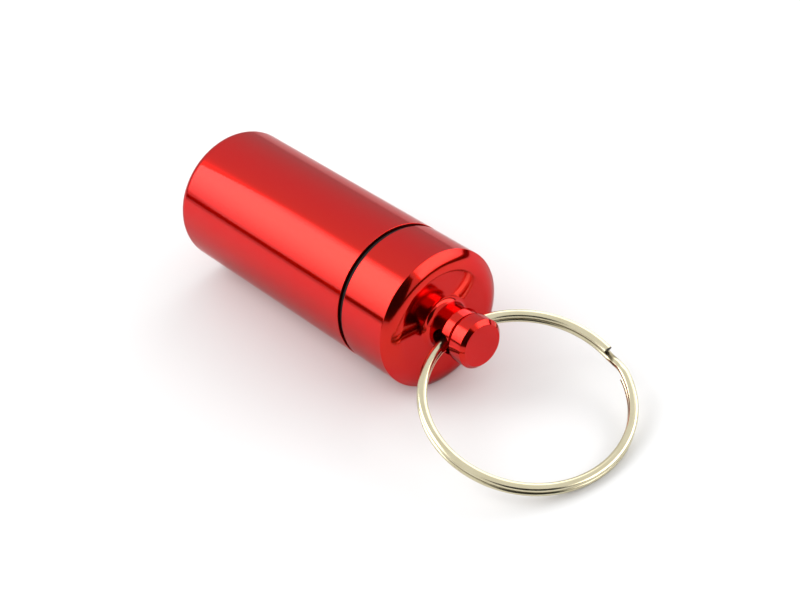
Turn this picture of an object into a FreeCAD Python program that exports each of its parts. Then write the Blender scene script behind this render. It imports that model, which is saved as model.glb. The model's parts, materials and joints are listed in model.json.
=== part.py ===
"""Pill fob keychain: a turned tube with a screw cap, an O-ring and a split key ring.

The fob lies on its side. +X runs along the tube towards the cap, +Z is up, and the origin is on the
surface it lies on, under the middle of its bounding box. Lengths are in millimetres, angles in degrees.
"""
import FreeCAD
import Part
import math
import os

import Sketcher

# Driving dimensions
SIZES = {
    # Container tube
    "tube_radius": 8.5,
    "tube_length": 31.6,
    "tube_wall": 1.7,
    "tube_floor": 1.6,
    "end_rounding": 1.2,
    "floor_bevel": 0.6,
    # Screw joint between tube and cap: the mouth is cut to the thread's root, the spigot to its core
    "thread_depth": 0.5,
    "thread_clearance": 0.15,
    "thread_runout": 1.8,
    # Seal, squeezed between the tube's rim and the cap's shoulder
    "seal_thickness": 0.7,
    "seal_width": 1.3,
    "seal_inset": 0.3,
    "seal_bulge": 0.1,
    # Screw cap
    "cap_length": 7.95,
    "crown_depth": 1.05,
    "crown_width": 1.3,
    "crown_rounding": 2.0,
    "cap_top": 3.2,
    "spigot_length": 6.5,
    "spigot_wall": 1.25,
    "spigot_lead": 0.4,
    "relief_width": 0.9,
    "relief_depth": 0.2,
    "edge_break": 0.15,
    # Post turned on the cap for the key ring
    "neck_radius": 2.6,
    "neck_length": 2.55,
    "neck_flare": 0.8,
    "collar_rise": 0.3,
    "collar_length": 1.2,
    "collar_taper": 0.15,
    "groove_depth": 0.25,
    "groove_width": 0.35,
    "head_rise": 0.1,
    "head_length": 2.3,
    "head_chamfer": 0.45,
    "hole_height": 2.5,
    "hole_clearance": 0.15,
    # Split ring: two turns of flattened wire joined by a step
    "ring_outer_radius": 12.15,
    "wire_width": 1.2,
    "wire_height": 0.6,
    "wire_bulge": 0.07,
    "turn_gap": 0.1,
    "step_angle": 16.0,
    "end_gap_angle": 1.5,
    "split_angle": 85.0,
    # Where the ring hangs in its hole: below the hole's axis, and a little nearer the cap than that axis
    "ring_sag": 0.5,
    "ring_setback": 0.18,
}
STEP_SECTIONS = 4
WIRE_SAMPLES = 1436


class Size:
    """A length or angle with its value and the spreadsheet expression that gives it."""

    def __init__(self, value, text):
        self.value = value
        self.text = text

    @staticmethod
    def of(other):
        if isinstance(other, Size):
            return other
        return Size(float(other), repr(float(other)))

    def __add__(self, other):
        other = Size.of(other)
        return Size(self.value + other.value, f"({self.text} + {other.text})")

    def __sub__(self, other):
        other = Size.of(other)
        return Size(self.value - other.value, f"({self.text} - {other.text})")

    def __mul__(self, other):
        other = Size.of(other)
        return Size(self.value * other.value, f"({self.text} * {other.text})")

    def __truediv__(self, other):
        other = Size.of(other)
        return Size(self.value / other.value, f"({self.text} / {other.text})")

    def __neg__(self):
        return self * -1


ZERO = Size(0.0, "0")


def make_sheet(doc):
    """The spreadsheet of driving dimensions, and a Size for each of its aliases."""
    sheet = doc.addObject("Spreadsheet::Sheet", "Sizes")
    for row, (name, value) in enumerate(SIZES.items(), start=1):
        sheet.set(f"A{row}", name)
        sheet.set(f"B{row}", str(value))
        sheet.setAlias(f"B{row}", name)
    doc.recompute()
    return {name: Size(sheet.get(name), f"Sizes.{name}") for name in SIZES}


def hypotenuse(a, b):
    """The long side of a right triangle."""
    return Size(math.hypot(a.value, b.value), f"sqrt({a.text} * {a.text} + {b.text} * {b.text})")


def add_fitted_sizes(d):
    """Adds the sizes that follow from others, so that each piece fits the one that it seats in or passes through."""
    d["bore_radius"] = d["tube_radius"] - d["tube_wall"]
    d["thread_root_radius"] = d["bore_radius"] + d["thread_depth"]
    d["thread_core_radius"] = d["bore_radius"] - d["thread_clearance"]
    d["thread_run"] = d["spigot_length"] - d["seal_thickness"] + d["thread_runout"]
    d["relief_radius"] = d["thread_core_radius"] - d["relief_depth"]
    d["cap_bore_radius"] = d["thread_core_radius"] - d["spigot_wall"]
    d["seal_inner_radius"] = d["tube_radius"] - d["seal_inset"] - d["seal_width"]
    d["collar_radius"] = d["neck_radius"] + d["collar_rise"]
    d["collar_front_radius"] = d["collar_radius"] - d["collar_taper"]
    d["groove_radius"] = d["collar_front_radius"] - d["groove_depth"]
    d["head_radius"] = d["collar_radius"] + d["head_rise"]
    d["half_stack"] = d["wire_height"] + d["turn_gap"] * 0.5
    corner_across = d["ring_setback"] + d["wire_width"] * 0.5 - d["wire_bulge"]
    corner_below = d["ring_sag"] + d["half_stack"]
    d["hole_radius"] = hypotenuse(corner_across, corner_below) + d["hole_clearance"]


def make_body(doc, name):
    body = doc.addObject("PartDesign::Body", name)
    body.Label = name
    return body


def make_sketch(body, name, plane, turn=None):
    """A sketch on one of the body's origin planes, turned about the body's Z axis where turn is given."""
    sketch = body.newObject("Sketcher::SketchObject", name)
    support = next(f for f in body.Origin.OriginFeatures if f.Role == plane)
    sketch.AttachmentSupport = [(support, "")]
    sketch.MapMode = "FlatFace"
    if turn is not None:
        sketch.AttachmentOffset = FreeCAD.Placement(
            FreeCAD.Vector(), FreeCAD.Rotation(FreeCAD.Vector(0, 1, 0), turn.value)
        )
        sketch.setExpression("AttachmentOffset.Rotation.Angle", turn.text)
    return sketch


def bind(sketch, constraint, size):
    """Adds a dimension to a sketch and ties it to the spreadsheet."""
    index = sketch.addConstraint(constraint)
    sketch.setExpression(f"Constraints[{index}]", size.text)


def pin_point(sketch, edge, end, x, y):
    """Fixes one end of a sketch edge at x, y; None stands for the sketch's own axis."""
    if x is None:
        sketch.addConstraint(Sketcher.Constraint("PointOnObject", edge, end, -2))
    else:
        bind(sketch, Sketcher.Constraint("DistanceX", -1, 1, edge, end, x.value), x)
    if y is None:
        sketch.addConstraint(Sketcher.Constraint("PointOnObject", edge, end, -1))
    else:
        bind(sketch, Sketcher.Constraint("DistanceY", -1, 1, edge, end, y.value), y)


def draw_profile(sketch, points):
    """A closed outline of straight lines through points given as pairs of sizes, None for an axis."""
    flat = [FreeCAD.Vector(x.value if x else 0, y.value if y else 0, 0) for x, y in points]
    count = len(points)
    for i in range(count):
        sketch.addGeometry(Part.LineSegment(flat[i], flat[(i + 1) % count]), False)
    for i in range(count):
        sketch.addConstraint(Sketcher.Constraint("Coincident", i, 2, (i + 1) % count, 1))
    for i, (x, y) in enumerate(points):
        pin_point(sketch, i, 1, x, y)


def bulge_radius(height, bulge):
    """Radius of the arc that closes a side of this height and stands out from it by the bulge."""
    half = height * 0.5
    return (half * half + bulge * bulge) / (bulge * 2)


def draw_flattened_section(sketch, inner, low, width, height, bulge):
    """Section of a flattened ring: level below and above, with sides that bulge as squeezed stock does.

    The inner side's bulge reaches the inner radius, and the outer side's stands out to inner plus width.
    """
    radius = bulge_radius(height, bulge)
    left = inner + bulge
    level = width - bulge * 2
    x0, x1 = left.value, left.value + level.value
    z0, z1 = low.value, low.value + height.value
    middle = (z0 + z1) / 2
    reach = radius.value - bulge.value
    up = FreeCAD.Vector(0, 0, 1)
    half_angle = math.asin(height.value / 2 / radius.value)
    sketch.addGeometry(Part.LineSegment(FreeCAD.Vector(x0, z0, 0), FreeCAD.Vector(x1, z0, 0)), False)
    sketch.addGeometry(Part.LineSegment(FreeCAD.Vector(x1, z1, 0), FreeCAD.Vector(x0, z1, 0)), False)
    for x, facing in ((x1 - reach, 0.0), (x0 + reach, math.pi)):
        circle = Part.Circle(FreeCAD.Vector(x, middle, 0), up, radius.value)
        sketch.addGeometry(Part.ArcOfCircle(circle, facing - half_angle, facing + half_angle), False)
    for first, second in ((0, 2), (2, 1), (1, 3), (3, 0)):
        sketch.addConstraint(Sketcher.Constraint("Coincident", first, 2, second, 1))
    sketch.addConstraint(Sketcher.Constraint("Horizontal", 0))
    sketch.addConstraint(Sketcher.Constraint("Vertical", 0, 1, 1, 2))
    sketch.addConstraint(Sketcher.Constraint("Vertical", 0, 2, 1, 1))
    sketch.addConstraint(Sketcher.Constraint("Equal", 2, 3))
    bind(sketch, Sketcher.Constraint("Radius", 2, radius.value), radius)
    bind(sketch, Sketcher.Constraint("DistanceX", -1, 1, 0, 1, x0), left)
    bind(sketch, Sketcher.Constraint("DistanceY", -1, 1, 0, 1, z0), low)
    bind(sketch, Sketcher.Constraint("DistanceX", 0, 1, 0, 2, level.value), level)
    bind(sketch, Sketcher.Constraint("DistanceY", 0, 1, 1, 2, height.value), height)


def revolve(body, name, sketch, axis, angle=None, reverse=False):
    """Turns a sketch about one of its axes, fully or through an angle."""
    feature = body.newObject("PartDesign::Revolution", name)
    feature.Profile = sketch
    feature.ReferenceAxis = (sketch, [axis])
    feature.Reversed = reverse
    if angle is not None:
        feature.Angle = angle.value
        feature.setExpression("Angle", angle.text)
    return feature


def round_edges(shape, x, radius):
    """Names of a turned piece's circular edges of this radius at this place along its axis."""
    close = 1e-4
    names = []
    for number, edge in enumerate(shape.Edges, start=1):
        curve = edge.Curve
        if isinstance(curve, Part.Circle):
            if abs(curve.Radius - radius.value) < close and abs(curve.Center.x - x.value) < close:
                names.append(f"Edge{number}")
    return names


def dress_edges(doc, body, kind, name, places, size):
    """A Fillet or Chamfer of one size on the circular edges at the given places and radii."""
    doc.recompute()
    base = body.Tip
    names = [n for x, radius in places for n in round_edges(base.Shape, x, radius)]
    feature = body.newObject(f"PartDesign::{kind}", name)
    feature.Base = (base, names)
    dimension = "Radius" if kind == "Fillet" else "Size"
    setattr(feature, dimension, size.value)
    feature.setExpression(dimension, size.text)
    body.Tip = feature
    return feature


def make_tube(doc, d):
    """Closed-end tube: its rounded end at local x = 0, its threaded mouth at local x = tube_length."""
    body = make_body(doc, "container_tube")
    mouth = d["tube_length"]
    thread_end = mouth - d["thread_run"]
    sketch = make_sketch(body, "tube_profile", "XY_Plane")
    draw_profile(
        sketch,
        [
            (None, None),
            (None, d["tube_radius"]),
            (mouth, d["tube_radius"]),
            (mouth, d["thread_root_radius"]),
            (thread_end, d["thread_root_radius"]),
            (thread_end, d["bore_radius"]),
            (d["tube_floor"], d["bore_radius"]),
            (d["tube_floor"], None),
        ],
    )
    revolve(body, "tube_turned", sketch, "H_Axis")
    dress_edges(doc, body, "Fillet", "tube_end_rounding", [(ZERO, d["tube_radius"])], d["end_rounding"])
    floor_corner = [(d["tube_floor"], d["bore_radius"])]
    dress_edges(doc, body, "Chamfer", "tube_floor_bevel", floor_corner, d["floor_bevel"])
    rim = [(mouth, d["tube_radius"]), (mouth, d["thread_root_radius"])]
    dress_edges(doc, body, "Chamfer", "tube_rim_break", rim, d["edge_break"])
    return body


def make_seal(doc, d):
    """O-ring as it is squeezed, about local Z: flat where it bears, bulged where it is free. z = 0 is the tube's rim."""
    body = make_body(doc, "seal_ring")
    sketch = make_sketch(body, "seal_section", "XZ_Plane")
    draw_flattened_section(
        sketch, d["seal_inner_radius"], ZERO, d["seal_width"], d["seal_thickness"], d["seal_bulge"]
    )
    revolve(body, "seal_turned", sketch, "V_Axis")
    return body


def make_cap(doc, d):
    """Screw cap with its hollow spigot and drilled post. Local x = 0 is the spigot's tip."""
    body = make_body(doc, "screw_cap")
    shoulder = d["spigot_length"]
    face = shoulder + d["cap_length"]
    collar = face + d["neck_length"]
    groove = collar + d["collar_length"]
    head = groove + d["groove_width"]
    front = head + d["head_length"]
    bore_end = face - d["cap_top"]
    crown = d["tube_radius"] - d["crown_width"]
    sketch = make_sketch(body, "cap_profile", "XY_Plane")
    draw_profile(
        sketch,
        [
            (None, d["cap_bore_radius"]),
            (None, d["thread_core_radius"]),
            (shoulder - d["relief_width"], d["thread_core_radius"]),
            (shoulder - d["relief_width"], d["relief_radius"]),
            (shoulder, d["relief_radius"]),
            (shoulder, d["tube_radius"]),
            (face - d["crown_depth"], d["tube_radius"]),
            (face, crown),
            (face, d["neck_radius"]),
            (collar, d["neck_radius"]),
            (collar, d["collar_radius"]),
            (groove, d["collar_front_radius"]),
            (groove, d["groove_radius"]),
            (head, d["groove_radius"]),
            (head, d["head_radius"]),
            (front, d["head_radius"]),
            (front, None),
            (bore_end, None),
            (bore_end, d["cap_bore_radius"]),
        ],
    )
    revolve(body, "cap_turned", sketch, "H_Axis")
    dress_edges(doc, body, "Fillet", "cap_crown", [(face, crown)], d["crown_rounding"])
    dress_edges(doc, body, "Chamfer", "head_chamfer", [(front, d["head_radius"])], d["head_chamfer"])
    dress_edges(doc, body, "Chamfer", "spigot_lead", [(ZERO, d["thread_core_radius"])], d["spigot_lead"])
    breaks = [
        (shoulder, d["tube_radius"]),
        (collar, d["collar_radius"]),
        (head, d["head_radius"]),
    ]
    dress_edges(doc, body, "Chamfer", "cap_edge_breaks", breaks, d["edge_break"])
    dress_edges(doc, body, "Fillet", "neck_flare", [(face, d["neck_radius"])], d["neck_flare"])
    drill_post(doc, body, face + d["hole_height"], d["hole_radius"])
    return body


def drill_post(doc, body, x, radius):
    """The cross hole for the key ring, drilled right through the post along the body's Y axis."""
    doc.recompute()
    before = body.Tip.Shape.Volume
    sketch = make_sketch(body, "hole_circle", "XZ_Plane")
    circle = Part.Circle(FreeCAD.Vector(x.value, 0, 0), FreeCAD.Vector(0, 0, 1), radius.value)
    sketch.addGeometry(circle, False)
    pin_point(sketch, 0, 3, x, None)
    bind(sketch, Sketcher.Constraint("Radius", 0, radius.value), radius)
    pocket = body.newObject("PartDesign::Pocket", "cross_hole")
    pocket.Profile = sketch
    pocket.Type = "ThroughAll"
    pocket.Midplane = True
    body.Tip = pocket
    doc.recompute()
    if pocket.Shape.Volume >= before:
        raise RuntimeError("the cross hole cuts nothing")


def climb(share):
    """How far the wire has risen at a share of the step: level at both ends, steepest in the middle."""
    return share * share * (3 - 2 * share)


def make_split_ring(doc, d):
    """Two flat turns of wire and the step that joins them, about local Z with the step just before angle 0.

    The lower turn runs on from angle 0 and the upper turn ends over it; the step falls from the upper turn,
    at minus step_angle, to the lower turn, at 0.
    """
    body = make_body(doc, "split_ring")
    inner = d["ring_outer_radius"] - d["wire_width"]
    low = -d["half_stack"]
    rise = d["wire_height"] + d["turn_gap"]
    turn = Size(360.0, "360") - d["step_angle"] - d["end_gap_angle"]

    def wire_section(name, share):
        sketch = make_sketch(body, name, "XZ_Plane", turn=d["step_angle"] * -share)
        base = low + rise * climb(share)
        draw_flattened_section(sketch, inner, base, d["wire_width"], d["wire_height"], d["wire_bulge"])
        return sketch

    sections = [wire_section(f"wire_section_{i}", i / (STEP_SECTIONS - 1)) for i in range(STEP_SECTIONS)]
    revolve(body, "lower_turn", sections[0], "V_Axis", angle=turn)
    doc.recompute()
    step = body.newObject("PartDesign::AdditiveLoft", "turn_step")
    step.Profile = sections[0]
    step.Sections = sections[1:]
    body.Tip = step
    doc.recompute()
    revolve(body, "upper_turn", sections[-1], "V_Axis", angle=turn, reverse=True)
    return body


def ring_rest(d):
    """How the ring hangs: the tilt at which its far side lies on the floor, its centre and its reach from the hole.

    Returns:
        The tilt in degrees, and the ring centre's place and the ring's furthest reach along X and Z, taken
        from the centre of the cross hole.
    """
    outer = d["ring_outer_radius"].value
    arm = outer - d["wire_width"].value / 2 - d["ring_setback"].value
    sag = d["ring_sag"].value
    lowest = outer - d["wire_bulge"].value
    along = arm + lowest
    across = sag + d["half_stack"].value
    tilt = math.asin(d["tube_radius"].value / math.hypot(along, across)) - math.atan2(across, along)
    centre_x = arm * math.cos(tilt) - sag * math.sin(tilt)
    centre_z = -arm * math.sin(tilt) - sag * math.cos(tilt)
    side = bulge_radius(d["wire_height"], d["wire_bulge"]).value
    upper_middle = (d["wire_height"].value + d["turn_gap"].value) / 2
    reach = centre_x + (outer - side) * math.cos(tilt) + upper_middle * math.sin(tilt) + side
    return math.degrees(tilt), centre_x, centre_z, reach


def place_pieces(d, tube, seal, cap, ring):
    """Sets each piece in the part's frame, with the origin under the middle of the whole fob."""
    tilt, centre_x, centre_z, reach = ring_rest(d)
    to_shoulder = d["tube_length"].value + d["seal_thickness"].value
    to_hole = to_shoulder + d["cap_length"].value + d["hole_height"].value
    far_end = -(to_hole + reach) / 2
    axis = d["tube_radius"].value
    tube.Placement.Base = FreeCAD.Vector(far_end, 0, axis)
    on_rim = FreeCAD.Vector(far_end + d["tube_length"].value, 0, axis)
    seal.Placement = FreeCAD.Placement(on_rim, FreeCAD.Rotation(FreeCAD.Vector(0, 1, 0), 90))
    cap.Placement.Base = FreeCAD.Vector(far_end + to_shoulder - d["spigot_length"].value, 0, axis)
    centre = FreeCAD.Vector(far_end + to_hole + centre_x, 0, axis + centre_z)
    lean = FreeCAD.Rotation(FreeCAD.Vector(0, 1, 0), tilt)
    about_itself = FreeCAD.Rotation(FreeCAD.Vector(0, 0, 1), d["split_angle"].value)
    ring.Placement = FreeCAD.Placement(centre, lean * about_itself)
    print(f"far end x {far_end:.4f}, hole x {far_end + to_hole:.4f}, ring tilt {tilt:.4f} degrees")


def wire_points(d):
    """Points along the middle of the split ring's wire, from the lower turn's free end to the upper turn's."""
    middle = d["ring_outer_radius"].value - d["wire_width"].value / 2
    rise = d["wire_height"].value + d["turn_gap"].value
    step = d["step_angle"].value
    turn = 360.0 - step - d["end_gap_angle"].value
    whole = turn + step + turn
    points = []
    for i in range(WIRE_SAMPLES + 1):
        travelled = whole * i / WIRE_SAMPLES
        share = min(max((travelled - turn) / step, 0.0), 1.0)
        height = rise * climb(share)
        angle = math.radians(turn - travelled)
        points.append(FreeCAD.Vector(middle * math.cos(angle), middle * math.sin(angle), height))
    return points


def print_least_gap(d):
    """Measures the split ring's least gap to itself on points half a turn or more apart along its wire."""
    points = wire_points(d)
    half_turn = WIRE_SAMPLES // 4
    least = min(
        points[i].distanceToPoint(points[j])
        for i in range(len(points))
        for j in range(i + half_turn, len(points))
    )
    print(f"split ring: least gap between its turns {least - d['wire_height'].value:.3f} mm")


def check_document(doc):
    """Stops where a feature has failed."""
    for item in doc.Objects:
        failed = [state for state in item.State if state in ("Invalid", "Error")]
        if failed:
            raise RuntimeError(f"{item.Name}: {failed}")


def write_pieces(pieces):
    """Writes each piece to its own file, once every one of them is a sound single solid."""
    for piece in pieces:
        shape = piece.Shape
        if shape.isNull() or not shape.isValid() or len(shape.Solids) != 1:
            raise RuntimeError(f"{piece.Label} is not one valid solid")
    os.makedirs("parts", exist_ok=True)
    for piece in pieces:
        piece.Shape.exportStep(f"parts/{piece.Label}.step")
        print(f"{piece.Label}: {piece.Shape.Volume:.2f} mm3")


def main():
    doc = FreeCAD.newDocument("pill_fob_keychain")
    d = make_sheet(doc)
    add_fitted_sizes(d)
    tube = make_tube(doc, d)
    seal = make_seal(doc, d)
    cap = make_cap(doc, d)
    ring = make_split_ring(doc, d)
    place_pieces(d, tube, seal, cap, ring)
    doc.recompute()
    check_document(doc)
    write_pieces([tube, seal, cap, ring])
    print_least_gap(d)


main()
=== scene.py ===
"""Looks of the pill fob keychain: turned red tube and cap, seal, split ring, studio and camera.

Everything is in metres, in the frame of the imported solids: +X runs along the tube towards the cap, and
+Z is up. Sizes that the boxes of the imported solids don't show are written as so many times MM.
"""
import json
import logging
import math
from dataclasses import dataclass
from enum import Enum
from typing import Any, Mapping, Optional, Sequence

import bmesh
import bpy
from mathutils import Matrix, Vector


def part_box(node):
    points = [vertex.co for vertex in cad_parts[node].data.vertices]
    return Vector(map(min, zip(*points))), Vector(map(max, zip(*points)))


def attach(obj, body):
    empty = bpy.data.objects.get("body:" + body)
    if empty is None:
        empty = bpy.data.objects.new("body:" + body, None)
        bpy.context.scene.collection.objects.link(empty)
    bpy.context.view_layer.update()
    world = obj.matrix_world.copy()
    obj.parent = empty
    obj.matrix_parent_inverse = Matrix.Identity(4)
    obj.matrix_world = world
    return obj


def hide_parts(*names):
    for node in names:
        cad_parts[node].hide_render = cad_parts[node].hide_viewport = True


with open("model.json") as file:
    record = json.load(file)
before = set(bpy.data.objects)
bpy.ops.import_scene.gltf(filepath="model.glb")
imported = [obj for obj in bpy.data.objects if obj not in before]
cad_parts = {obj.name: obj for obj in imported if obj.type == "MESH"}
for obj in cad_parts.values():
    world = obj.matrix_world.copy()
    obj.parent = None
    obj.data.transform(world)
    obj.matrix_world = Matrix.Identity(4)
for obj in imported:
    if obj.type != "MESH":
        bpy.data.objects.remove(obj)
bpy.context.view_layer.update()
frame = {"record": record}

LOG = logging.getLogger("pill_fob")
MM = 0.001
SHARP_ANGLE = math.radians(30)
QUARTER_TURN = math.pi / 2
UP = Vector((0, 0, 1))
SMOOTH_RAMP = {"interpolation_type": "SMOOTHSTEP"}


class Body(Enum):
    """Moving bodies of the fob."""

    TUBE = "tube"
    SEAL = "seal"
    CAP = "cap"
    KEY_RING = "key_ring"


class Slot(Enum):
    """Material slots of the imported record."""

    TUBE = "red_anodised_tube"
    CAP = "red_anodised_cap"
    RUBBER = "black_rubber"
    NICKEL = "nickel_plate"


class Corner(Enum):
    """How a corner of a turned outline is finished."""

    SHARP = "sharp"
    BEVEL = "bevel"
    ROUND = "round"


def linear_colour(hex_code: str) -> tuple[float, float, float, float]:
    """Turns an sRGB hex colour into a linear one.

    Args:
        hex_code: Six hexadecimal digits.

    Returns:
        Linear red, green and blue, and an alpha of one.
    """
    channels = [int(hex_code[i : i + 2], 16) / 255 for i in (0, 2, 4)]
    linear = [c / 12.92 if c <= 0.04045 else ((c + 0.055) / 1.055) ** 2.4 for c in channels]
    return (*linear, 1.0)


def add_node(
    tree: bpy.types.NodeTree,
    kind: str,
    settings: Optional[Mapping[str, Any]] = None,
    inputs: Optional[Mapping[Any, Any]] = None,
) -> bpy.types.Node:
    """Adds a node, sets its properties and fills its inputs.

    Args:
        tree: The tree that gets the node.
        kind: The node's type name.
        settings: Properties by name.
        inputs: Sockets by name or number, each an output to link from or a plain value.

    Returns:
        The new node.
    """
    node = tree.nodes.new(kind)
    for name, value in (settings or {}).items():
        setattr(node, name, value)
    for key, value in (inputs or {}).items():
        if isinstance(value, bpy.types.NodeSocket):
            tree.links.new(value, node.inputs[key])
        else:
            node.inputs[key].default_value = value
    return node


def new_material(name: str) -> tuple[bpy.types.Material, bpy.types.NodeTree]:
    """Starts an empty procedural material.

    Args:
        name: The finish's name.

    Returns:
        The material and its node tree.
    """
    material = bpy.data.materials.new(name)
    material.use_nodes = True
    material.node_tree.nodes.clear()
    return material, material.node_tree


@dataclass(frozen=True)
class AnodisedAluminium:
    """Bright-dipped aluminium, turned, polished and anodised in a clear dye.

    The dyed oxide tints what the polished metal mirrors, and its hard clear skin adds a thin sharp white
    reflection on top. Under the skin the lathe's feed leaves faint rings, so the metal's own reflection is
    softer.
    """

    name: str
    roughness: tuple[float, float]
    dye: str = "CB1600"
    dye_deep: str = "C81200"
    dye_at_edge: str = "C01400"
    skin_weight: float = 0.47
    skin_roughness: float = 0.03
    # Lathe feed marks are finer than a pixel, so they are drawn at about three times their real spacing.
    feed: float = 0.3 * MM
    feed_depth: float = 0.0006 * MM
    mottle: float = 6.0 * MM

    def material(self, axis_height: float) -> bpy.types.Material:
        """Builds the finish.

        Args:
            axis_height: Height of the turning axis, which lies along X.

        Returns:
            The material.
        """
        material, tree = new_material(self.name)
        place = add_node(tree, "ShaderNodeTexCoord").outputs["Object"]
        along = add_node(tree, "ShaderNodeSeparateXYZ", inputs={0: place}).outputs["X"]
        across = add_node(
            tree,
            "ShaderNodeVectorMath",
            {"operation": "MULTIPLY_ADD"},
            {0: place, 1: (0, 1, 1), 2: (0, 0, -axis_height)},
        )
        radius = add_node(tree, "ShaderNodeVectorMath", {"operation": "LENGTH"}, {0: across.outputs[0]})
        path = add_node(
            tree, "ShaderNodeMath", {"operation": "ADD"}, {0: along, 1: radius.outputs["Value"]}
        )
        rings = add_node(
            tree,
            "ShaderNodeTexNoise",
            {"noise_dimensions": "1D"},
            {"W": path.outputs[0], "Scale": 1 / self.feed, "Detail": 3.0, "Roughness": 0.6},
        )
        marks = add_node(
            tree,
            "ShaderNodeBump",
            inputs={"Strength": 1.0, "Distance": self.feed_depth, "Height": rings.outputs[0]},
        )
        clouds = add_node(
            tree,
            "ShaderNodeTexNoise",
            inputs={"Vector": place, "Scale": 1 / self.mottle, "Detail": 4.0},
        )
        roughness = add_node(
            tree,
            "ShaderNodeMapRange",
            inputs={0: clouds.outputs[0], 3: self.roughness[0], 4: self.roughness[1]},
        )
        dye = add_node(
            tree,
            "ShaderNodeMix",
            {"data_type": "RGBA"},
            {0: clouds.outputs[0], 6: linear_colour(self.dye), 7: linear_colour(self.dye_deep)},
        )
        inputs = {
            "Base Color": dye.outputs[2],
            "Metallic": 1.0,
            "Roughness": roughness.outputs[0],
            "Specular Tint": linear_colour(self.dye_at_edge),
            "Normal": marks.outputs[0],
            "Coat Weight": self.skin_weight,
            "Coat Roughness": self.skin_roughness,
        }
        shader = add_node(tree, "ShaderNodeBsdfPrincipled", inputs=inputs)
        add_node(tree, "ShaderNodeOutputMaterial", inputs={"Surface": shader.outputs[0]})
        return material


@dataclass(frozen=True)
class NickelPlate:
    """Bright nickel plate over drawn and flattened steel wire.

    Nickel mirrors with a warm tint, and the wire below it keeps faint ripples and small soft patches. Where
    the two turns meet, a dark colour is painted on as shade in the crevice between them.
    """

    name: str = "nickel_plated_steel"
    bright: str = "D6CFB4"
    warm: str = "C4BA98"
    # Painted shade: this dark colour is laid on the crevice where the two turns meet.
    crevice_shade: str = "6E6650"
    crevice_shade_half_width: tuple[float, float] = (0.03 * MM, 0.2 * MM)
    roughness: tuple[float, float] = (0.13, 0.22)
    ripple: float = 0.9 * MM
    ripple_depth: float = 0.003 * MM
    patch: float = 2.5 * MM

    def material(self, centre: Vector, axis: Vector) -> bpy.types.Material:
        """Builds the finish.

        Args:
            centre: The ring's middle.
            axis: Direction at right angles to the turns.

        Returns:
            The material.
        """
        material, tree = new_material(self.name)
        place = add_node(tree, "ShaderNodeTexCoord").outputs["Object"]
        patches, ripples = (
            add_node(
                tree, "ShaderNodeTexNoise", inputs={"Vector": place, "Scale": 1 / size, "Detail": detail}
            )
            for size, detail in ((self.patch, 3.0), (self.ripple, 2.0))
        )
        bump = add_node(
            tree,
            "ShaderNodeBump",
            inputs={"Strength": 1.0, "Distance": self.ripple_depth, "Height": ripples.outputs[0]},
        )
        roughness = add_node(
            tree,
            "ShaderNodeMapRange",
            inputs={0: patches.outputs[0], 3: self.roughness[0], 4: self.roughness[1]},
        )
        colour = add_node(
            tree,
            "ShaderNodeMix",
            {"data_type": "RGBA"},
            {0: patches.outputs[0], 6: linear_colour(self.bright), 7: linear_colour(self.warm)},
        )
        from_centre = add_node(
            tree, "ShaderNodeVectorMath", {"operation": "SUBTRACT"}, {0: place, 1: tuple(centre)}
        )
        height = add_node(
            tree,
            "ShaderNodeVectorMath",
            {"operation": "DOT_PRODUCT"},
            {0: from_centre.outputs[0], 1: tuple(axis)},
        )
        from_seam = add_node(
            tree, "ShaderNodeMath", {"operation": "ABSOLUTE"}, {0: height.outputs["Value"]}
        )
        # Painted shade: the colour darkens towards the middle plane between the two turns, where the
        # crevice lies.
        unshaded = add_node(
            tree,
            "ShaderNodeMapRange",
            SMOOTH_RAMP,
            {0: from_seam.outputs[0], 1: self.crevice_shade_half_width[0], 2: self.crevice_shade_half_width[1]},
        )
        shaded = add_node(
            tree,
            "ShaderNodeMix",
            {"data_type": "RGBA"},
            {0: unshaded.outputs[0], 6: linear_colour(self.crevice_shade), 7: colour.outputs[2]},
        )
        inputs = {
            "Base Color": shaded.outputs[2],
            "Metallic": 1.0,
            "Roughness": roughness.outputs[0],
            "Normal": bump.outputs[0],
        }
        shader = add_node(tree, "ShaderNodeBsdfPrincipled", inputs=inputs)
        add_node(tree, "ShaderNodeOutputMaterial", inputs={"Surface": shader.outputs[0]})
        return material


@dataclass(frozen=True)
class MouldedRubber:
    """Black nitrile rubber as it comes from the mould: matt, with a fine even grain."""

    name: str = "nitrile_rubber_black"
    colour: str = "0D0C0C"
    roughness: tuple[float, float] = (0.6, 0.72)
    ior: float = 1.52
    gloss: float = 0.2
    grain: float = 0.12 * MM
    grain_depth: float = 0.006 * MM

    def material(self) -> bpy.types.Material:
        """Builds the finish.

        Returns:
            The material.
        """
        material, tree = new_material(self.name)
        place = add_node(tree, "ShaderNodeTexCoord").outputs["Object"]
        grain = add_node(
            tree, "ShaderNodeTexNoise", inputs={"Vector": place, "Scale": 1 / self.grain, "Detail": 2.0}
        )
        bump = add_node(
            tree,
            "ShaderNodeBump",
            inputs={"Strength": 1.0, "Distance": self.grain_depth, "Height": grain.outputs[0]},
        )
        roughness = add_node(
            tree,
            "ShaderNodeMapRange",
            inputs={0: grain.outputs[0], 3: self.roughness[0], 4: self.roughness[1]},
        )
        inputs = {
            "Base Color": linear_colour(self.colour),
            "Roughness": roughness.outputs[0],
            "IOR": self.ior,
            "Specular IOR Level": self.gloss,
            "Normal": bump.outputs[0],
        }
        shader = add_node(tree, "ShaderNodeBsdfPrincipled", inputs=inputs)
        add_node(tree, "ShaderNodeOutputMaterial", inputs={"Surface": shader.outputs[0]})
        return material


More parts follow.
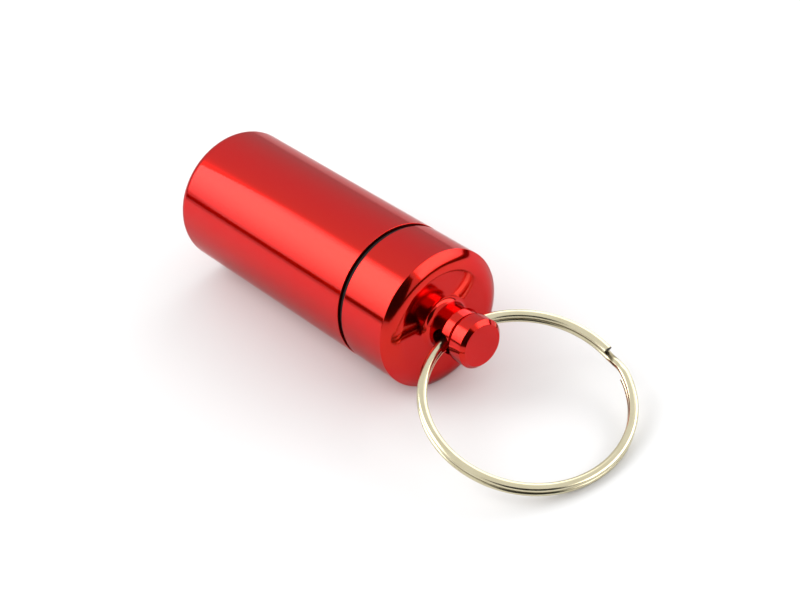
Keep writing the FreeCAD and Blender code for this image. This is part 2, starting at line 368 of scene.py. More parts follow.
@dataclass(frozen=True)
class PlainFinish:
    """An even surface without a pattern.

    Attributes:
        name: The finish's name.
        colour: Its colour all over.
        roughness: Its roughness all over.
        metallic: One for bare metal.
        ior: Its refractive index, where it isn't the usual one.
    """

    name: str
    colour: str
    roughness: float
    metallic: float = 0.0
    ior: Optional[float] = None

    def material(self) -> bpy.types.Material:
        """Builds the finish.

        Returns:
            The material.
        """
        material, tree = new_material(self.name)
        inputs = {
            "Base Color": linear_colour(self.colour),
            "Metallic": self.metallic,
            "Roughness": self.roughness,
        }
        if self.ior is not None:
            inputs["IOR"] = self.ior
        shader = add_node(tree, "ShaderNodeBsdfPrincipled", inputs=inputs)
        add_node(tree, "ShaderNodeOutputMaterial", inputs={"Surface": shader.outputs[0]})
        return material


# Bare steel where the plated wire was cut off: dull, grey and dark.
SHEARED_STEEL = PlainFinish("sheared_steel", "4E4A42", 0.55, metallic=1.0)
# White acrylic table top with a matt skin, which hardly mirrors even at a low angle.
MATT_ACRYLIC = PlainFinish("matt_acrylic_white", "D8D8D8", 0.6, ior=1.49)
# Black card: it keeps light off a side of the studio.
MATT_BLACK = PlainFinish("matt_black_card", "0A0A0A", 0.9)


def new_piece(name: str, mesh: bpy.types.Mesh) -> bpy.types.Object:
    """Links a new object to the scene.

    Args:
        name: The piece's name.
        mesh: Its mesh, already in place.

    Returns:
        The object, at the origin.
    """
    piece = bpy.data.objects.new(name, mesh)
    bpy.context.scene.collection.objects.link(piece)
    return piece


def evaluated_mesh(source: bpy.types.Object) -> bpy.types.Mesh:
    """Makes a plain mesh of an object with its modifiers, and removes the object.

    Args:
        source: An object that carries modifiers.

    Returns:
        The finished mesh.
    """
    graph = bpy.context.evaluated_depsgraph_get()
    mesh = bpy.data.meshes.new_from_object(source.evaluated_get(graph))
    bpy.data.objects.remove(source)
    return mesh


def smooth_faces(mesh: bpy.types.Mesh) -> None:
    """Shades a mesh smooth, apart from its sharp edges."""
    mesh.shade_smooth()
    mesh.set_sharp_from_angle(angle=SHARP_ANGLE)


@dataclass(frozen=True)
class Station:
    """A corner of a turned outline.

    Attributes:
        along: Place along the turning axis.
        radius: Distance from that axis.
        corner: How the corner is finished.
        size: The rounding's radius or the bevel's leg.
    """

    along: float
    radius: float
    corner: Corner = Corner.SHARP
    size: float = 0.0


@dataclass(frozen=True)
class Lathe:
    """Turns outlines about an axis that lies along X.

    Attributes:
        axis_height: Height of the axis.
        segments: Faces round the axis.
        arc_steps: Steps of each rounded corner.
        guard: Distance from a corner at which a level stretch gets an extra ring, which keeps its shading
            level.
        guarded_from: Length from which a stretch gets such rings.
        on_axis: Radius below which a point lies on the axis.
    """

    axis_height: float
    segments: int = 256
    arc_steps: int = 10
    guard: float = 0.06 * MM
    guarded_from: float = 0.24 * MM
    on_axis: float = 0.006 * MM

    def corner_points(self, before: Station, at: Station, after: Station) -> list[Vector]:
        """Finishes one corner of an outline.

        Args:
            before: The station before the corner.
            at: The corner.
            after: The station after it.

        Returns:
            Points along the finished corner, as pairs of place and radius.
        """
        here = Vector((at.along, at.radius))
        if at.corner is Corner.SHARP:
            return [here]
        back = (Vector((before.along, before.radius)) - here).normalized()
        ahead = (Vector((after.along, after.radius)) - here).normalized()
        if at.corner is Corner.BEVEL:
            return [here + back * at.size, here + ahead * at.size]
        half = back.angle(ahead) / 2
        reach = at.size / math.tan(half)
        centre = here + (back + ahead).normalized() * (at.size / math.sin(half))
        start = (here + back * reach - centre).normalized()
        end = (here + ahead * reach - centre).normalized()
        sweep = start.angle(end)
        points = []
        for i in range(self.arc_steps + 1):
            turned = sweep * i / self.arc_steps
            mixed = start * math.sin(sweep - turned) + end * math.sin(turned)
            points.append(centre + mixed * (at.size / math.sin(sweep)))
        return points

    def outline(self, stations: Sequence[Station], closed: bool) -> list[Vector]:
        """Draws an outline with its corners finished and its level stretches guarded.

        Args:
            stations: The outline's corners in order.
            closed: Whether the last joins the first; otherwise both lie on the axis.

        Returns:
            Points as pairs of place and radius.
        """
        count = len(stations)
        points: list[Vector] = []
        for i, station in enumerate(stations):
            if not closed and i in (0, count - 1):
                points.append(Vector((station.along, station.radius)))
            else:
                points += self.corner_points(stations[i - 1], station, stations[(i + 1) % count])
        guarded: list[Vector] = []
        for i, point in enumerate(points):
            guarded.append(point)
            if not closed and i == len(points) - 1:
                break
            step = points[(i + 1) % len(points)] - point
            if step.length > self.guarded_from:
                direction = step.normalized() * self.guard
                guarded += [point + direction, point + step - direction]
        return guarded

    def turn(self, name: str, stations: Sequence[Station], closed: bool = False) -> bpy.types.Mesh:
        """Turns an outline into a closed mesh.

        Args:
            name: The mesh's name.
            stations: The outline's corners in order.
            closed: Whether the outline is a closed loop clear of the axis.

        Returns:
            The mesh, with outward normals and smooth shading.
        """
        work = bmesh.new()
        rings: list[list[bmesh.types.BMVert]] = []
        for along, radius in self.outline(stations, closed):
            if radius < self.on_axis:
                rings.append([work.verts.new((along, 0, self.axis_height))] * self.segments)
                continue
            ring = []
            for i in range(self.segments):
                angle = 2 * math.pi * i / self.segments
                y, z = radius * math.sin(angle), radius * math.cos(angle)
                ring.append(work.verts.new((along, y, self.axis_height + z)))
            rings.append(ring)
        following = rings[1:] + rings[:1] if closed else rings[1:]
        for first, second in zip(rings, following):
            for i in range(self.segments):
                j = (i + 1) % self.segments
                corners = (first[i], first[j], second[j], second[i])
                work.faces.new(dict.fromkeys(corners))
        bmesh.ops.recalc_face_normals(work, faces=work.faces)
        mesh = bpy.data.meshes.new(name)
        work.to_mesh(mesh)
        work.free()
        smooth_faces(mesh)
        return mesh


class ShapeTree:
    """A Geometry Nodes tree with named inputs, run once to make a plain mesh."""

    def __init__(self, name: str, sizes: Mapping[str, float], material: bpy.types.Material) -> None:
        """Starts the tree.

        Args:
            name: The tree's name.
            sizes: Its number inputs with their values.
            material: What the finished mesh is made of.
        """
        self.tree = bpy.data.node_groups.new(name, "GeometryNodeTree")
        self.values: dict[str, Any] = {**sizes, "Material": material}
        face = self.tree.interface
        self.sockets = {n: face.new_socket(n, in_out="INPUT", socket_type="NodeSocketFloat") for n in sizes}
        kind = "NodeSocketMaterial"
        self.sockets["Material"] = face.new_socket("Material", in_out="INPUT", socket_type=kind)
        face.new_socket("Geometry", in_out="OUTPUT", socket_type="NodeSocketGeometry")
        self.inputs = self.tree.nodes.new("NodeGroupInput").outputs

    def winding(
        self,
        points: int,
        radius: bpy.types.NodeSocket,
        angle: bpy.types.NodeSocket,
        height: bpy.types.NodeSocket,
    ) -> bpy.types.NodeSocket:
        """Lays a curve that winds round Z, with its sides kept upright.

        Args:
            points: How many points the curve has.
            radius: Distance from Z.
            angle: How far round each point is.
            height: How high each point is.

        Returns:
            The curve.
        """
        spoke = add_node(self.tree, "ShaderNodeCombineXYZ", inputs={"X": radius, "Z": height})
        place = add_node(
            self.tree,
            "ShaderNodeVectorRotate",
            {"rotation_type": "Z_AXIS"},
            {"Vector": spoke.outputs[0], "Angle": angle},
        )
        line = add_node(self.tree, "GeometryNodeCurvePrimitiveLine")
        fine = add_node(
            self.tree, "GeometryNodeResampleCurve", inputs={0: line.outputs[0], "Count": points}
        )
        laid = add_node(
            self.tree, "GeometryNodeSetPosition", inputs={0: fine.outputs[0], "Position": place.outputs[0]}
        )
        upright = add_node(
            self.tree, "GeometryNodeSetCurveNormal", {"mode": "Z_UP"}, {0: laid.outputs[0]}
        )
        return upright.outputs[0]

    def mesh(self, swept: bpy.types.NodeSocket) -> bpy.types.Mesh:
        """Ends the tree, runs it and makes its result a plain mesh.

        Args:
            swept: The geometry that the tree has made.

        Returns:
            The mesh, smooth shaded and with outward normals.
        """
        real = add_node(self.tree, "GeometryNodeRealizeInstances", inputs={0: swept})
        dressed = add_node(
            self.tree,
            "GeometryNodeSetMaterial",
            inputs={0: real.outputs[0], "Material": self.inputs["Material"]},
        )
        add_node(self.tree, "NodeGroupOutput", inputs={0: dressed.outputs[0]})
        holder = new_piece(self.tree.name, bpy.data.meshes.new(self.tree.name))
        modifier = holder.modifiers.new(self.tree.name, "NODES")
        modifier.node_group = self.tree
        for name, value in self.values.items():
            modifier[self.sockets[name].identifier] = value
        mesh = evaluated_mesh(holder)
        work = bmesh.new()
        work.from_mesh(mesh)
        bmesh.ops.recalc_face_normals(work, faces=work.faces)
        work.to_mesh(mesh)
        work.free()
        smooth_faces(mesh)
        return mesh


@dataclass(frozen=True)
class ScrewThread:
    """Right-hand thread between cap and tube, as one ridge wound round the axis.

    Attributes:
        pitch: Rise of one turn.
        base_width: Ridge's width where it leaves the wall.
        crest_width: Ridge's width at its crest.
        bedding: How far the ridge is let into the wall.
        fade: Turns over which the ridge runs out at each end.
        run_out: Share of its section that is left there.
        points_per_turn: Points of the ridge's path in one turn.
    """

    pitch: float = 1.0 * MM
    base_width: float = 0.6 * MM
    crest_width: float = 0.14 * MM
    bedding: float = 0.03 * MM
    fade: float = 0.35
    run_out: float = 0.02
    points_per_turn: int = 128

    def ridge(
        self,
        name: str,
        wall: float,
        crest: float,
        start: Vector,
        turns: float,
        material: bpy.types.Material,
    ) -> bpy.types.Mesh:
        """Winds one ridge.

        Args:
            name: The mesh's name.
            wall: Radius of the wall that carries the ridge.
            crest: Radius of the ridge's crest, outside the wall or inside it.
            start: Where the ridge starts on the axis.
            turns: How often it winds.
            material: What it is made of.

        Returns:
            The ridge's mesh in place.
        """
        depth = crest - wall
        bedding = math.copysign(self.bedding, depth)
        outward = depth > 0
        sizes = {
            "Wall Radius": wall,
            "Whole Angle": 2 * math.pi * turns,
            "Whole Rise": self.pitch * turns,
            "Fade In": self.fade / turns,
            "Fade Out": 1 - self.fade / turns,
            "Inner Width": self.base_width if outward else self.crest_width,
            "Outer Width": self.crest_width if outward else self.base_width,
            "Ridge Height": abs(depth + bedding),
            "Ridge Middle": (depth - bedding) / 2,
        }
        shape = ShapeTree(name, sizes, material)
        tree, given = shape.tree, shape.inputs
        factor = add_node(tree, "GeometryNodeSplineParameter").outputs["Factor"]
        angle = add_node(tree, "ShaderNodeMapRange", inputs={0: factor, 4: given["Whole Angle"]})
        rise = add_node(tree, "ShaderNodeMapRange", inputs={0: factor, 4: given["Whole Rise"]})
        helix = shape.winding(
            round(self.points_per_turn * turns), given["Wall Radius"], angle.outputs[0], rise.outputs[0]
        )
        swell = add_node(
            tree, "ShaderNodeMapRange", SMOOTH_RAMP, {0: factor, 2: given["Fade In"], 3: self.run_out}
        )
        shrink = add_node(
            tree,
            "ShaderNodeMapRange",
            SMOOTH_RAMP,
            {0: factor, 1: 1.0, 2: given["Fade Out"], 3: self.run_out},
        )
        size = add_node(
            tree, "ShaderNodeMath", {"operation": "MINIMUM"}, {0: swell.outputs[0], 1: shrink.outputs[0]}
        )
        outline = add_node(
            tree,
            "GeometryNodeCurvePrimitiveQuadrilateral",
            {"mode": "TRAPEZOID"},
            {
                "Bottom Width": given["Inner Width"],
                "Top Width": given["Outer Width"],
                "Height": given["Ridge Height"],
                "Offset": 0.0,
            },
        )
        middle = add_node(tree, "ShaderNodeCombineXYZ", inputs={"X": given["Ridge Middle"]})
        section = add_node(
            tree,
            "GeometryNodeTransform",
            inputs={
                0: outline.outputs[0],
                "Translation": middle.outputs[0],
                "Rotation": (0.0, 0.0, -QUARTER_TURN),
            },
        )
        swept = add_node(
            tree,
            "GeometryNodeCurveToMesh",
            inputs={0: helix, 1: section.outputs[0], "Scale": size.outputs[0], "Fill Caps": True},
        )
        mesh = shape.mesh(swept.outputs[0])
        along_x = Matrix(((0, 0, 1), (1, 0, 0), (0, 1, 0))).to_4x4()
        mesh.transform(Matrix.Translation(start) @ along_x)
        return mesh


def dress(piece: bpy.types.Object, body: Body, node: Optional[str] = None) -> None:
    """Sets a finished piece on its body.

    Args:
        piece: The piece.
        body: What it moves with.
        node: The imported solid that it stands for, if it does.
    """
    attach(piece, body.value)
    if node is not None:
        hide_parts(node)
    LOG.info("%s: %d faces on %s", piece.name, len(piece.data.polygons), body.value)


@dataclass
class TurnedPiece:
    """A piece turned about an axis along X.

    Attributes:
        low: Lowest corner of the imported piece's box.
        high: Highest corner of that box.
    """

    low: Vector
    high: Vector

    @property
    def radius(self) -> float:
        """Outer radius."""
        return (self.high.z - self.low.z) / 2

    @property
    def axis_height(self) -> float:
        """Height of the turning axis."""
        return (self.high.z + self.low.z) / 2


@dataclass
class ContainerTube(TurnedPiece):
    """Closed-end tube with a threaded mouth."""

    wall: float = 1.7 * MM
    floor: float = 1.6 * MM
    end_rounding: float = 1.2 * MM
    floor_bevel: float = 0.6 * MM
    thread_depth: float = 0.5 * MM
    thread_run: float = 7.6 * MM
    thread_turns: float = 6.2
    thread_start: float = 7.1 * MM
    edge_break: float = 0.15 * MM
    rim_rounding: float = 0.05 * MM

    @property
    def bore(self) -> float:
        """Radius of the bore, which is also the thread's crest."""
        return self.radius - self.wall

    def build(self, lathe: Lathe, thread: ScrewThread, finish: bpy.types.Material) -> None:
        """Turns the tube, cuts its thread and sets both on the tube's body.

        Args:
            lathe: Turns the outline.
            thread: Winds the ridge.
            finish: The tube's material.
        """
        far, rim = self.low.x, self.high.x
        root = self.bore + self.thread_depth
        thread_end = rim - self.thread_run
        inner_floor = far + self.floor
        stations = [
            Station(far, 0),
            Station(far, self.radius, Corner.ROUND, self.end_rounding),
            Station(rim, self.radius, Corner.ROUND, self.rim_rounding),
            Station(rim, root, Corner.BEVEL, self.edge_break),
            Station(thread_end, root),
            Station(thread_end, self.bore),
            Station(inner_floor, self.bore, Corner.BEVEL, self.floor_bevel),
            Station(inner_floor, 0),
        ]
        mesh = lathe.turn("tube_body", stations)
        mesh.materials.append(finish)
        dress(new_piece("tube_body", mesh), Body.TUBE, "container_tube")
        start = Vector((rim - self.thread_start, 0, self.axis_height))
        ridge = thread.ridge("tube_thread", root, self.bore, start, self.thread_turns, finish)
        dress(new_piece("tube_thread", ridge), Body.TUBE)


@dataclass
class ScrewCap(TurnedPiece):
    """Cap with a hollow threaded spigot and a drilled post for the key ring."""

    length: float = 7.95 * MM
    crown_depth: float = 1.05 * MM
    crown_width: float = 1.3 * MM
    crown_rounding: float = 2.8 * MM
    top: float = 3.2 * MM
    spigot_length: float = 6.5 * MM
    spigot_radius: float = 6.65 * MM
    spigot_wall: float = 1.25 * MM
    spigot_lead: float = 0.4 * MM
    relief_width: float = 0.9 * MM
    relief_depth: float = 0.2 * MM
    thread_crest: float = 7.2 * MM
    thread_turns: float = 4.9
    thread_lag: float = 1.5
    neck_radius: float = 2.6 * MM
    neck_length: float = 2.55 * MM
    neck_flare: float = 0.8 * MM
    collar_radius: float = 2.9 * MM
    collar_length: float = 1.2 * MM
    collar_taper: float = 0.15 * MM
    groove_depth: float = 0.25 * MM
    groove_width: float = 0.35 * MM
    head_radius: float = 3.0 * MM
    head_chamfer: float = 0.45 * MM
    head_back: float = 0.2 * MM
    hole_radius: float = 1.5 * MM
    hole_height: float = 2.5 * MM
    hole_segments: int = 96
    bit_length: float = 12.0 * MM
    edge_break: float = 0.12 * MM
    fine_break: float = 0.06 * MM

    @property
    def shoulder(self) -> float:
        """Place of the shoulder that the seal bears on."""
        return self.low.x + self.spigot_length

    @property
    def face(self) -> float:
        """Place of the flat face that the post stands on."""
        return self.shoulder + self.length

    def stations(self) -> list[Station]:
        """Corners of the cap's outline.

        Returns:
            Stations from the head's middle round the outside and back through the bore.
        """
        tip, front = self.low.x, self.high.x
        collar = self.face + self.neck_length
        groove = collar + self.collar_length
        head = groove + self.groove_width
        groove_radius = self.collar_radius - self.collar_taper - self.groove_depth
        relief = self.spigot_radius - self.relief_depth
        relief_end = self.shoulder - self.relief_width
        bore = self.spigot_radius - self.spigot_wall
        bore_end = self.face - self.top
        return [
            Station(front, 0),
            Station(front, self.head_radius, Corner.BEVEL, self.head_chamfer),
            Station(head, self.head_radius, Corner.ROUND, self.head_back),
            Station(head, groove_radius),
            Station(groove, groove_radius),
            Station(groove, self.collar_radius - self.collar_taper, Corner.ROUND, self.fine_break),
            Station(collar, self.collar_radius, Corner.ROUND, self.edge_break),
            Station(collar, self.neck_radius),
            Station(self.face, self.neck_radius, Corner.ROUND, self.neck_flare),
            Station(self.face, self.radius - self.crown_width, Corner.ROUND, self.crown_rounding),
            Station(self.face - self.crown_depth, self.radius, Corner.ROUND, self.edge_break),
            Station(self.shoulder, self.radius, Corner.ROUND, self.edge_break),
            Station(self.shoulder, relief),
            Station(relief_end, relief),
            Station(relief_end, self.spigot_radius, Corner.ROUND, self.fine_break),
            Station(tip, self.spigot_radius, Corner.BEVEL, self.spigot_lead),
            Station(tip, bore, Corner.ROUND, self.fine_break),
            Station(bore_end, bore, Corner.ROUND, self.edge_break),
            Station(bore_end, 0),
        ]

    def drill(self, blank: bpy.types.Mesh) -> bpy.types.Mesh:
        """Drills the cross hole through the post.

        Args:
            blank: The turned cap.

        Returns:
            The drilled cap.
        """
        bit = bmesh.new()
        bmesh.ops.create_cone(
            bit,
            cap_ends=True,
            segments=self.hole_segments,
            radius1=self.hole_radius,
            radius2=self.hole_radius,
            depth=self.bit_length,
        )
        bit_mesh = bpy.data.meshes.new("hole_bit")
        bit.to_mesh(bit_mesh)
        bit.free()
        place = Vector((self.face + self.hole_height, 0, self.axis_height))
        bit_mesh.transform(Matrix.Translation(place) @ Matrix.Rotation(QUARTER_TURN, 4, "X"))
        drill = new_piece("hole_bit", bit_mesh)
        work = new_piece("cap_blank", blank)
        cut = work.modifiers.new("cross_hole", "BOOLEAN")
        cut.operation = "DIFFERENCE"
        cut.solver = "EXACT"
        cut.object = drill
        drilled = evaluated_mesh(work)
        bpy.data.objects.remove(drill)
        smooth_faces(drilled)
        return drilled

    def build(
        self, lathe: Lathe, thread: ScrewThread, tube_start: float, finish: bpy.types.Material
    ) -> None:
        """Turns, drills and threads the cap and sets it on its body.

        Args:
            lathe: Turns the outline.
            thread: Winds the ridge.
            tube_start: Where on the axis the tube's ridge starts, between whose turns the cap's one lies.
            finish: The cap's material.
        """
        mesh = self.drill(lathe.turn("cap_body", self.stations()))
        mesh.materials.clear()
        mesh.materials.append(finish)
        dress(new_piece("cap_body", mesh), Body.CAP, "screw_cap")
        start = Vector((tube_start + self.thread_lag * thread.pitch, 0, self.axis_height))
        ridge = thread.ridge(
            "cap_thread", self.spigot_radius, self.thread_crest, start, self.thread_turns, finish
        )
        dress(new_piece("cap_thread", ridge), Body.CAP)


@dataclass
class SealRing(TurnedPiece):
    """O-ring, squeezed between the tube's rim and the cap's shoulder."""

    width: float = 1.3 * MM
    rounding: float = 0.24 * MM

    def build(self, lathe: Lathe, finish: bpy.types.Material) -> None:
        """Turns the seal and sets it on its body.

        Args:
            lathe: Turns the section.
            finish: The seal's material.
        """
        inner = self.radius - self.width
        left, right = self.low.x, self.high.x
        corners = ((left, self.radius), (right, self.radius), (right, inner), (left, inner))
        section = [Station(along, radius, Corner.ROUND, self.rounding) for along, radius in corners]
        mesh = lathe.turn("seal_band", section, closed=True)
        mesh.materials.append(finish)
        dress(new_piece("seal_band", mesh), Body.SEAL, "seal_ring")


@dataclass
class SplitRing:
    """Two turns of flattened wire joined by a step, threaded through the post's cross hole.

    Attributes:
        low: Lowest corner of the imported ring's box.
        high: Highest corner of that box.
        centre: The ring's middle.
        tilt: Angle by which the ring's far side droops. This and the other angles are in degrees.
    """

    low: Vector
    high: Vector
    centre: Vector
    tilt: float
    wire_width: float = 1.1 * MM
    wire_height: float = 0.7 * MM
    section_points: int = 44
    turn_gap: float = 0.05 * MM
    step_angle: float = 16.0
    end_gap_angle: float = 1.5
    split_angle: float = 85.0
    points: int = 720

    def build(self, finish: bpy.types.Material, cut: bpy.types.Material) -> None:
        """Bends the wire and sets the ring on its body.

        Args:
            finish: The wire's material.
            cut: The material of its two ends.
        """
        turn = math.radians(360.0 - self.step_angle - self.end_gap_angle)
        step = math.radians(self.step_angle)
        half_rise = (self.wire_height + self.turn_gap) / 2
        sizes = {
            "Middle Radius": (self.high.y - self.low.y - self.wire_width) / 2,
            "Wire Width": self.wire_width,
            "Wire Height": self.wire_height,
            "Start Angle": turn,
            "Step Angle": -step,
            "End Angle": -step - turn,
            "Lower Turn": -half_rise,
            "Upper Turn": half_rise,
        }
        shape = ShapeTree("split_ring_wire", sizes, finish)
        tree, given = shape.tree, shape.inputs
        factor = add_node(tree, "GeometryNodeSplineParameter").outputs["Factor"]
        angle = add_node(
            tree,
            "ShaderNodeMapRange",
            inputs={0: factor, 3: given["Start Angle"], 4: given["End Angle"]},
        )
        height = add_node(
            tree,
            "ShaderNodeMapRange",
            SMOOTH_RAMP,
            {
                0: angle.outputs[0],
                1: 0.0,
                2: given["Step Angle"],
                3: given["Lower Turn"],
                4: given["Upper Turn"],
            },
        )
        path = shape.winding(self.points, given["Middle Radius"], angle.outputs[0], height.outputs[0])
        # The circle is one across, so its two scales are the wire's width and height.
        circle = add_node(
            tree,
            "GeometryNodeCurvePrimitiveCircle",
            inputs={"Resolution": self.section_points, "Radius": 0.5},
        )
        stretch = add_node(
            tree,
            "ShaderNodeCombineXYZ",
            inputs={"X": given["Wire Width"], "Y": given["Wire Height"], "Z": 1.0},
        )
        section = add_node(
            tree, "GeometryNodeTransform", inputs={0: circle.outputs[0], "Scale": stretch.outputs[0]}
        )
        swept = add_node(
            tree,
            "GeometryNodeCurveToMesh",
            inputs={0: path, 1: section.outputs[0], "Fill Caps": True},
        )
        mesh = shape.mesh(swept.outputs[0])
        mesh.materials.append(cut)
        # The wire's sides are faces of four corners, so only its two ends have more.
        for face in mesh.polygons:
            if len(face.vertices) > 4:
                face.material_index = 1
        lean = Matrix.Rotation(math.radians(self.tilt), 4, "Y")
        about_itself = Matrix.Rotation(math.radians(self.split_angle), 4, "Z")
        mesh.transform(Matrix.Translation(self.centre) @ lean @ about_itself)
        dress(new_piece("key_ring_wire", mesh), Body.KEY_RING, "split_ring")


@dataclass(frozen=True)
class Panel:
    """A flat board that stands in the studio and isn't seen by the camera.

    Attributes:
        name: The panel's name.
        low: Middle of its lower edge.
        high: Middle of its upper edge.
        along: Direction of those edges.
        width: Length of those edges.
    """

    name: str
    low: Vector
    high: Vector
    along: Vector
    width: float


@dataclass(frozen=True)
class SoftBox(Panel):
    """A soft light that fades towards its lower and upper edges.

    Attributes:
        radiance: How bright its face is.
        foot: Heights, as shares of its own, between which it grows to that brightness.
        soft_top: Share of its height over which the upper edge fades.
    """

    radiance: float
    foot: tuple[float, float]
    soft_top: float

    def build(self) -> None:
        """Hangs the light, with its back to the direction that its edges and its height make."""
        slope = self.high - self.low
        light = bpy.data.lights.new(self.name, "AREA")
        light.shape = "RECTANGLE"
        light.size = self.width
        light.size_y = slope.length
        # A rectangle's brightness is its power over its area and pi.
        light.energy = self.radiance * math.pi * self.width * slope.length
        light.use_nodes = True
        tree = light.node_tree
        tree.nodes.clear()
        spot = add_node(tree, "ShaderNodeNewGeometry").outputs["Parametric"]
        height = add_node(tree, "ShaderNodeSeparateXYZ", inputs={0: spot}).outputs["Y"]
        foot = add_node(
            tree, "ShaderNodeMapRange", SMOOTH_RAMP, {0: height, 1: self.foot[0], 2: self.foot[1]}
        )
        top = add_node(
            tree, "ShaderNodeMapRange", SMOOTH_RAMP, {0: height, 1: 1.0, 2: 1.0 - self.soft_top}
        )
        both = add_node(
            tree, "ShaderNodeMath", {"operation": "MULTIPLY"}, {0: foot.outputs[0], 1: top.outputs[0]}
        )
        glow = add_node(tree, "ShaderNodeEmission", inputs={"Strength": both.outputs[0]})
        add_node(tree, "ShaderNodeOutputLight", inputs={0: glow.outputs[0]})
        lamp = bpy.data.objects.new(self.name, light)
        x, y = self.along.normalized(), slope.normalized()
        turn = Matrix((x, y, x.cross(y))).transposed().to_4x4()
        lamp.matrix_world = Matrix.Translation((self.low + self.high) / 2) @ turn
        lamp.visible_camera = False
        bpy.context.scene.collection.objects.link(lamp)


@dataclass(frozen=True)
class Card(Panel):
    """A dark card, which is seen in reflections alone."""

    def build(self, material: bpy.types.Material) -> None:
        """Stands the card up.

        Args:
            material: What it is made of.
        """
        half = self.along.normalized() * self.width / 2
        corners = [self.low - half, self.low + half, self.high + half, self.high - half]
        mesh = bpy.data.meshes.new(self.name)
        mesh.from_pydata(corners, [], [(0, 1, 2, 3)])
        mesh.materials.append(material)
        card = new_piece(self.name, mesh)
        card.visible_camera = False
        card.visible_diffuse = False
        card.visible_shadow = False


@dataclass(frozen=True)
class Studio:
    """White table in a light tent, with soft boxes round it and a dark opening at the camera.

    Attributes:
        floor_size: Side of the table top.
        tent_far: The tent's brightness away from its lit side.
        tent_near: Its brightness towards that side.
        lit_side: Direction of that side.
        lit_range: How far a direction points to that side where the brightness starts and ends to grow.
    """

    floor_size: float = 3.0
    tent_far: float = 0.9
    tent_near: float = 1.3
    lit_side: tuple[float, float, float] = (0.0, -0.34, 0.94)
    lit_range: tuple[float, float] = (-0.25, 0.75)

    def build(self) -> None:
        """Sets up floor, tent, lights and cards."""
        half = self.floor_size / 2
        corners = [(x * half, y * half, 0) for x, y in ((-1, -1), (1, -1), (1, 1), (-1, 1))]
        mesh = bpy.data.meshes.new("table_top")
        mesh.from_pydata(corners, [], [(0, 1, 2, 3)])
        mesh.materials.append(MATT_ACRYLIC.material())
        new_piece("table_top", mesh)
        self.build_tent()
        for box in self.soft_boxes():
            box.build()
        black = MATT_BLACK.material()
        for card in self.cards():
            card.build(black)

    def build_tent(self) -> None:
        """Gives the world the tent's soft light, brighter towards the lit side."""
        world = bpy.data.worlds.new("light_tent")
        bpy.context.scene.world = world
        world.use_nodes = True
        tree = world.node_tree
        tree.nodes.clear()
        where = add_node(tree, "ShaderNodeTexCoord").outputs["Generated"]
        facing = add_node(
            tree, "ShaderNodeVectorMath", {"operation": "DOT_PRODUCT"}, {0: where, 1: self.lit_side}
        )
        glow = add_node(
            tree,
            "ShaderNodeMapRange",
            inputs={
                0: facing.outputs["Value"],
                1: self.lit_range[0],
                2: self.lit_range[1],
                3: self.tent_far,
                4: self.tent_near,
            },
        )
        back = add_node(tree, "ShaderNodeBackground", inputs={"Strength": glow.outputs[0]})
        add_node(tree, "ShaderNodeOutputWorld", inputs={0: back.outputs[0]})

    def direction(self, azimuth: float, elevation: float) -> Vector:
        """Direction from the fob, with its azimuth counted from +X towards +Y, in degrees."""
        az, el = math.radians(azimuth), math.radians(elevation)
        return Vector((math.cos(el) * math.cos(az), math.cos(el) * math.sin(az), math.sin(el)))

    def soft_boxes(self) -> list[SoftBox]:
        """The tent's lit sides.

        Returns:
            A slanting box over the tube's near side, one to the right of the cap, and one behind the ring.
        """
        left = SoftBox(
            name="soft_box_left",
            low=Vector((-0.3, -0.5, 0.0535)),
            high=Vector((-0.3, -0.105, 0.543)),
            along=Vector((1, 0, 0)),
            width=0.46,
            radiance=3.5,
            foot=(-0.12, 0.62),
            soft_top=0.24,
        )
        toward = self.direction(azimuth=48, elevation=0)
        right = SoftBox(
            name="soft_box_right",
            low=toward * 0.628 + UP * 0.033,
            high=toward * 0.472 + UP * 0.477,
            along=UP.cross(toward),
            width=0.8,
            radiance=2.9,
            foot=(-0.15, 0.45),
            soft_top=0.22,
        )
        toward = self.direction(azimuth=108, elevation=0)
        back = SoftBox(
            name="soft_box_back",
            low=toward * 0.62 + UP * 0.03,
            high=toward * 0.36 + UP * 0.62,
            along=UP.cross(toward),
            width=0.4,
            radiance=1.7,
            foot=(-0.15, 0.3),
            soft_top=0.3,
        )
        return [left, right, back]

    def cards(self) -> list[Card]:
        """Dark cards: the opening at the camera, and the low rims of the tent's sides.

        Returns:
            The cards.
        """
        outward = self.direction(azimuth=-28, elevation=23)
        level = UP.cross(outward).normalized()
        middle, half_rise = outward * 0.4, outward.cross(level) * 0.175
        opening = Card(
            name="camera_opening",
            low=middle - half_rise,
            high=middle + half_rise,
            along=level,
            width=0.37,
        )
        foot = Vector((-0.45, -0.3, 0))
        left_rim = Card(
            name="left_rim",
            low=foot + UP * 0.022,
            high=foot + UP * 0.056,
            along=Vector((1, 0, 0)),
            width=0.9,
        )
        toward = self.direction(azimuth=33, elevation=0) * 0.22
        right_rim = Card(
            name="right_rim", low=toward, high=toward + UP * 0.036, along=UP.cross(toward), width=0.44
        )
        return [opening, left_rim, right_rim]


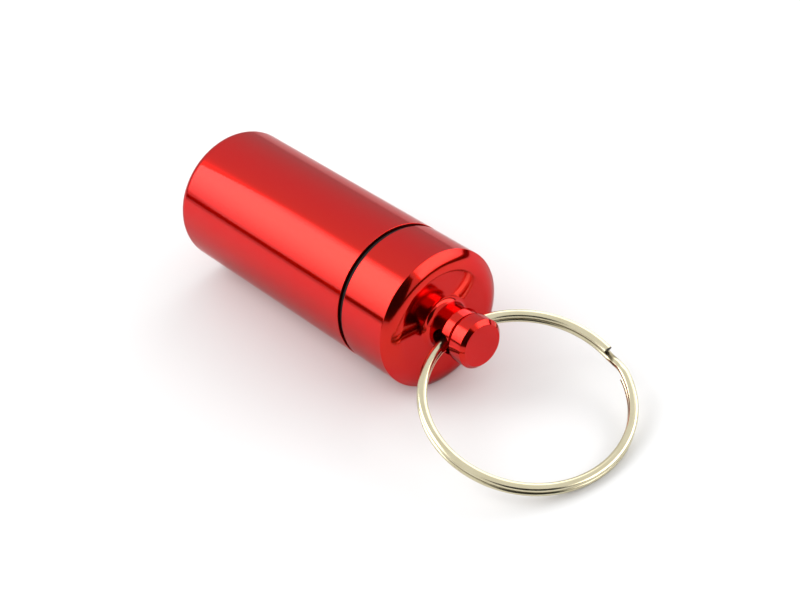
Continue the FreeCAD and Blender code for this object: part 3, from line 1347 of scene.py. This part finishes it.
@dataclass(frozen=True)
class PhotoCamera:
    """Camera at the photograph's viewing angle, in a picture of 800 by 600.

    Attributes:
        heading: Direction that it looks in, turned from +X towards +Y, in degrees.
        look_down: Angle below the horizon, in degrees.
        roll: Turn about its own axis, in degrees.
        focal: Focal length in pixels.
        picture: Width and height of the picture in pixels.
        seam_pixel: Where the middle of the seam between tube and cap lands.
        seam_depth: Distance of that middle along the camera's axis.
        sensor: Width of its sensor in millimetres.
        nearest: Distance from which it sees anything.
    """

    heading: float = 145.89
    look_down: float = 37.46
    roll: float = 10.0
    focal: float = 1966.0
    picture: tuple[float, float] = (800.0, 600.0)
    seam_pixel: tuple[float, float] = (397.2, 292.8)
    seam_depth: float = 226.4 * MM
    sensor: float = 36.0
    nearest: float = 10 * MM

    def build(self, seam: Vector) -> None:
        """Places the camera.

        Args:
            seam: The middle of the seam between tube and cap.
        """
        heading, down = math.radians(self.heading), math.radians(self.look_down)
        forward = Vector(
            (math.cos(down) * math.cos(heading), math.cos(down) * math.sin(heading), -math.sin(down))
        )
        level = forward.cross(UP).normalized()
        below = forward.cross(level)
        turn = math.radians(self.roll)
        right = level * math.cos(turn) + below * math.sin(turn)
        up = level * math.sin(turn) - below * math.cos(turn)
        off_x = (self.seam_pixel[0] - self.picture[0] / 2) / self.focal * self.seam_depth
        off_y = (self.seam_pixel[1] - self.picture[1] / 2) / self.focal * self.seam_depth
        place = seam - forward * self.seam_depth - right * off_x + up * off_y
        data = bpy.data.cameras.new("photo_camera")
        data.sensor_width = self.sensor
        data.lens = self.focal / self.picture[0] * self.sensor
        data.clip_start = self.nearest
        camera = bpy.data.objects.new("photo_camera", data)
        aim = Matrix((right, up, -forward)).transposed().to_4x4()
        camera.matrix_world = Matrix.Translation(place) @ aim
        bpy.context.scene.collection.objects.link(camera)
        bpy.context.scene.camera = camera


def main() -> None:
    """Builds the fob piece by piece, then the studio and the camera."""
    logging.basicConfig(level=logging.INFO, format="%(name)s: %(message)s")
    tube = ContainerTube(*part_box("container_tube"))
    cap = ScrewCap(*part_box("screw_cap"))
    lathe = Lathe(tube.axis_height)
    thread = ScrewThread()
    satin = AnodisedAluminium("anodised_aluminium_red_satin", (0.16, 0.2))
    tube.build(lathe, thread, satin.material(tube.axis_height))
    bright = AnodisedAluminium("anodised_aluminium_red_bright", (0.13, 0.16))
    cap.build(lathe, thread, tube.high.x - tube.thread_start, bright.material(tube.axis_height))
    SealRing(*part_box("seal_ring")).build(lathe, MouldedRubber().material())
    loop = next(mount for mount in frame["record"]["mounts"] if mount["name"] == "key_loop")
    droop = math.degrees(math.atan2(loop["axis"][0], loop["axis"][2]))
    ring = SplitRing(*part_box("split_ring"), Vector(loop["pos_m"]), droop)
    nickel = NickelPlate().material(Vector(loop["pos_m"]), Vector(loop["axis"]))
    ring.build(nickel, SHEARED_STEEL.material())
    seam = Vector(((tube.high.x + cap.shoulder) / 2, 0, tube.axis_height))
    PhotoCamera().build(seam)
    Studio().build()
    bpy.context.scene.view_settings.view_transform = "Standard"


if __name__ == "__main__":
    main()
